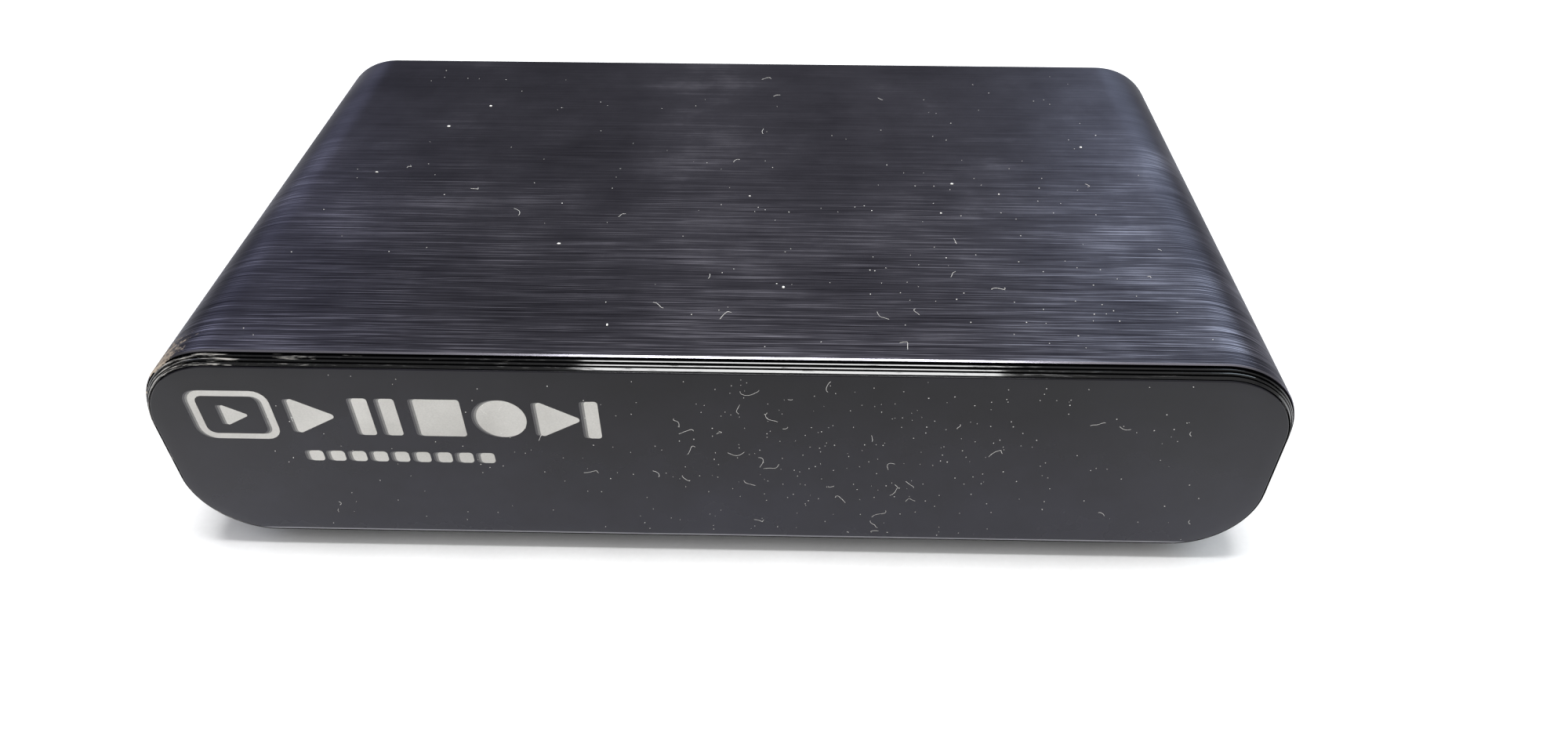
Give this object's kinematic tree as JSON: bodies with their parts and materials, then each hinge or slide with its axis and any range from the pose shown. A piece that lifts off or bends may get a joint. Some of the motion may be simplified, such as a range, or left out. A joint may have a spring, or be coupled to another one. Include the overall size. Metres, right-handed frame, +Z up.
{
  "type": "digital video recorder box",
  "caption": "Compact television receiver and recorder: brushed black aluminium sleeve with round corners, stepped bezel, smoked front panel and rear sockets.",
  "frame": {"origin": "on the surface it stands on, under the middle of its overall width and of its overall depth from the panel face to the tips of the aerial sockets", "axes": "+X to the right seen from the front, +Y from the front panel to the rear sockets, +Z up"},
  "size_m": [0.12, 0.0778, 0.0281],
  "materials": {
    "anodised_aluminium": "brushed, black anodised",
    "black_gloss_plastic": "glossy moulded",
    "smoked_plate": "smooth smoked plate, satin gloss",
    "black_plastic": "fine moulded texture",
    "tape": "adhesive film",
    "rubber": "soft matt",
    "label": "plain printed sheet with no text",
    "black_steel": "black zinc plated",
    "circuit_board": "green solder resist",
    "tinplate": "tin plated sheet",
    "nickel": "nickel plated",
    "gold_plate": "gold plated contact",
    "pale_plastic": "unfilled moulded",
    "heatsink_aluminium": "black anodised",
    "silicone_pad": "soft silicone",
    "chip_epoxy": "moulded epoxy",
    "capacitor_sleeve": "shrunk film",
    "ferrite": "sintered",
    "dark_lens": "infrared filter resin",
    "red_lens": "tinted resin",
    "ribbon": "flexible insulation"
  },
  "bodies": {
    "root": {"antenna_in_contact": "gold_plate", "antenna_in_insulator": "pale_plastic", "antenna_in_shell": "nickel", "antenna_out_insulator": "pale_plastic", "antenna_out_pin": "nickel", "antenna_out_shell": "nickel", "av_jack_body": "black_plastic", "base_label": "label", "capacitor_1": "capacitor_sleeve", "capacitor_2": "capacitor_sleeve", "capacitor_3": "capacitor_sleeve", "capacitor_4": "capacitor_sleeve", "crystal": "tinplate", "dc_jack_body": "black_plastic", "dc_jack_pin": "nickel", "digit_display": "black_plastic", "display_board": "circuit_board", "display_cable": "ribbon", "display_header": "pale_plastic", "display_plug": "pale_plastic", "display_screw_left": "black_steel", "display_screw_right": "black_steel", "flash_chip": "chip_epoxy", "foot_front_left": "rubber", "foot_front_right": "rubber", "foot_rear_left": "rubber", "foot_rear_right": "rubber", "front_bezel": "black_gloss_plastic", "front_panel": "smoked_plate", "hdmi_shell": "nickel", "hdmi_tongue": "black_plastic", "heatsink": "heatsink_aluminium", "inductor_1": "ferrite", "inductor_2": "ferrite", "infrared_receiver": "dark_lens", "main_board": "circuit_board", "main_chip": "chip_epoxy", "main_header": "pale_plastic", "main_plug": "pale_plastic", "memory_chip": "chip_epoxy", "panel_tape": "tape", "power_led": "red_lens", "rear_cover": "black_plastic", "rear_screw_left_bottom": "black_steel", "rear_screw_left_top": "black_steel", "rear_screw_right_bottom": "black_steel", "rear_screw_right_top": "black_steel", "regulator_1": "chip_epoxy", "regulator_2": "chip_epoxy", "sleeve": "anodised_aluminium", "thermal_pad": "silicone_pad", "tuner_can": "tinplate", "tuner_lid": "tinplate", "usb_shell": "nickel", "usb_tongue": "black_plastic"}
  },
  "joints": []
}
